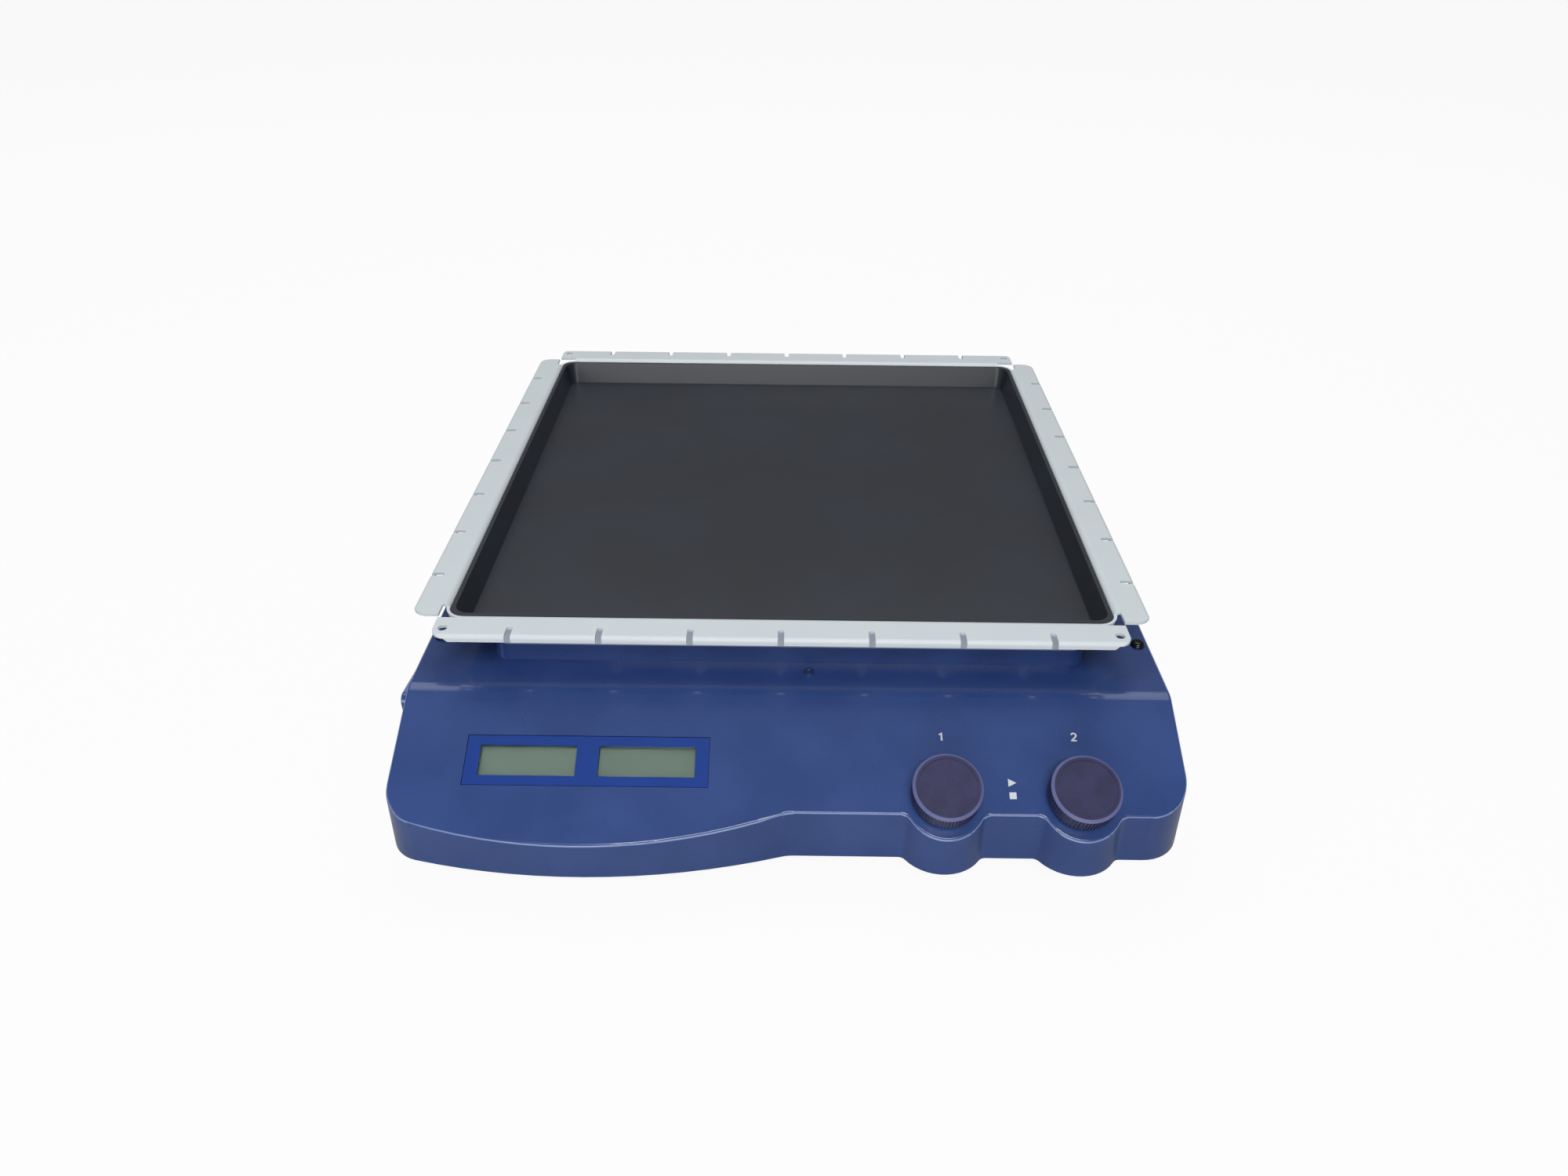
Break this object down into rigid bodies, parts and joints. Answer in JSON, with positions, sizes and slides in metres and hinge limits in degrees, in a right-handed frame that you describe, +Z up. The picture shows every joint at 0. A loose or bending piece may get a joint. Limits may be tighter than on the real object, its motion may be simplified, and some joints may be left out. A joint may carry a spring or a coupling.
{
  "type": "orbital shaker",
  "caption": "Bench orbital shaker: low moulded housing with a sloping control panel, two push knobs, and a square dish tray with a rubber mat that circles on a crank.",
  "frame": {"origin": "on the bench, under the middle of the housing", "axes": "+X to the user's right, +Y away from the user to the rear connections, +Z up from the bench"},
  "size_m": [0.3726, 0.4337, 0.098],
  "materials": {
    "cover_blue": "blue, satin moulded grain",
    "side_cover_blue": "blue, satin moulded grain",
    "bezel_blue": "deep blue, smooth",
    "lens": "clear moulded window",
    "lcd": "grey-green liquid crystal",
    "knob": "dark violet-grey, satin",
    "dome_black": "glossy black",
    "tray_powder": "light grey powder coat",
    "mat_rubber": "matt black moulded rubber",
    "foot_rubber": "matt black",
    "belt_rubber": "matt black",
    "plate_steel": "grey powder coat",
    "screw_steel": "zinc plated",
    "bearing_steel": "polished bearing steel",
    "crank_steel": "turned steel",
    "weight_steel": "blackened steel",
    "cast_aluminium": "machined casting",
    "pulley_aluminium": "machined",
    "bracket_steel": "zinc plated sheet",
    "motor_black": "black",
    "stator": "laminations and windings",
    "supply_steel": "galvanised sheet",
    "board_green": "solder mask",
    "black_plastic": "moulded",
    "rocker_black": "moulded",
    "rotor_white": "moulded",
    "shaft_steel": "turned"
  },
  "bodies": {
    "housing": {"top_cover": "cover_blue", "side_cover": "side_cover_blue", "display_bezel": "bezel_blue", "display_lens": "lens", "lcd_modules": "lcd", "display_board": "board_green", "display_screws": "screw_steel", "encoder_bodies": "black_plastic", "encoder_nuts": "screw_steel", "knob_board": "board_green", "corner_domes": "dome_black", "cover_screw": "screw_steel", "base_plate": "plate_steel", "rubber_feet": "foot_rubber", "foot_screws": "screw_steel", "foot_nuts": "screw_steel", "cover_screws": "screw_steel", "base_screws": "screw_steel", "drive_housing": "cast_aluminium", "drive_bearings": "bearing_steel", "drive_belt": "belt_rubber", "idler_housings": "cast_aluminium", "idler_bearings": "bearing_steel", "motor_bracket": "bracket_steel", "motor_can": "motor_black", "motor_stator": "stator", "motor_screws": "screw_steel", "power_supply": "supply_steel", "control_board": "board_green", "board_standoffs": "screw_steel", "board_screws": "screw_steel", "power_inlet": "black_plastic", "inlet_screws": "screw_steel", "switch_frame": "black_plastic"},
    "drive": {"drive_crank": "crank_steel", "drive_pulley": "pulley_aluminium", "counterweight": "weight_steel", "weight_screws": "screw_steel"},
    "platform": {"carrier": "cast_aluminium", "carrier_bearings": "bearing_steel", "tray_posts": "pulley_aluminium", "tray_screws": "screw_steel", "dish_tray": "tray_powder", "rubber_mat": "mat_rubber"},
    "idler_1": {"idler_crank_1": "crank_steel"},
    "idler_2": {"idler_crank_2": "crank_steel"},
    "idler_3": {"idler_crank_3": "crank_steel"},
    "idler_4": {"idler_crank_4": "crank_steel"},
    "motor": {"motor_rotor": "shaft_steel", "motor_pulley": "pulley_aluminium"},
    "speed_turn": {"speed_rotor": "rotor_white"},
    "speed_push": {"speed_shaft": "shaft_steel", "speed_knob": "knob"},
    "time_turn": {"time_rotor": "rotor_white"},
    "time_push": {"time_shaft": "shaft_steel", "time_knob": "knob"},
    "rocker": {"switch_rocker": "rocker_black"}
  },
  "joints": [
    {"name": "drive_spin", "type": "hinge", "parent": "housing", "child": "drive", "pos_m": [0, 0.0366, 0.03], "axis": [0, 0, 1], "continuous": true},
    {"name": "platform_orbit", "type": "hinge", "parent": "drive", "child": "platform", "pos_m": [-0.004, 0.0336, 0.064], "axis": [0, 0, 1], "continuous": true},
    {"name": "idler_1_spin", "type": "hinge", "parent": "housing", "child": "idler_1", "pos_m": [-0.088, -0.0584, 0.03], "axis": [0, 0, 1], "continuous": true},
    {"name": "idler_2_spin", "type": "hinge", "parent": "housing", "child": "idler_2", "pos_m": [-0.088, 0.1316, 0.03], "axis": [0, 0, 1], "continuous": true},
    {"name": "idler_3_spin", "type": "hinge", "parent": "housing", "child": "idler_3", "pos_m": [0.088, -0.0584, 0.03], "axis": [0, 0, 1], "continuous": true},
    {"name": "idler_4_spin", "type": "hinge", "parent": "housing", "child": "idler_4", "pos_m": [0.088, 0.1316, 0.03], "axis": [0, 0, 1], "continuous": true},
    {"name": "motor_spin", "type": "hinge", "parent": "housing", "child": "motor", "pos_m": [0.105, 0.0366, 0.03], "axis": [0, 0, 1], "continuous": true},
    {"name": "speed_knob_turn", "type": "hinge", "parent": "housing", "child": "speed_turn", "pos_m": [0.0718, -0.18885, 0.0378], "axis": [0, -0.4462, 0.8949], "continuous": true},
    {"name": "speed_knob_push", "type": "slide", "parent": "speed_turn", "child": "speed_push", "axis": [0, 0.4462, -0.8949], "range_m": [0, 0.0015], "stiffness_N_per_m": 2000, "springref_m": -0.0005},
    {"name": "time_knob_turn", "type": "hinge", "parent": "housing", "child": "time_turn", "pos_m": [0.134, -0.18885, 0.0378], "axis": [0, -0.4462, 0.8949], "continuous": true},
    {"name": "time_knob_push", "type": "slide", "parent": "time_turn", "child": "time_push", "axis": [0, 0.4462, -0.8949], "range_m": [0, 0.0015], "stiffness_N_per_m": 2000, "springref_m": -0.0005},
    {"name": "power_rocker", "type": "hinge", "parent": "housing", "child": "rocker", "pos_m": [-0.066, 0.2116, 0.038], "axis": [1, 0, 0], "range_deg": [0, 20]}
  ],
  "couplings": [
    {"joint": "platform_orbit", "follows": "drive_spin", "ratio": -1},
    {"joint": "idler_1_spin", "follows": "drive_spin", "ratio": 1},
    {"joint": "idler_2_spin", "follows": "drive_spin", "ratio": 1},
    {"joint": "idler_3_spin", "follows": "drive_spin", "ratio": 1},
    {"joint": "idler_4_spin", "follows": "drive_spin", "ratio": 1},
    {"joint": "motor_spin", "follows": "drive_spin", "ratio": 3}
  ]
}
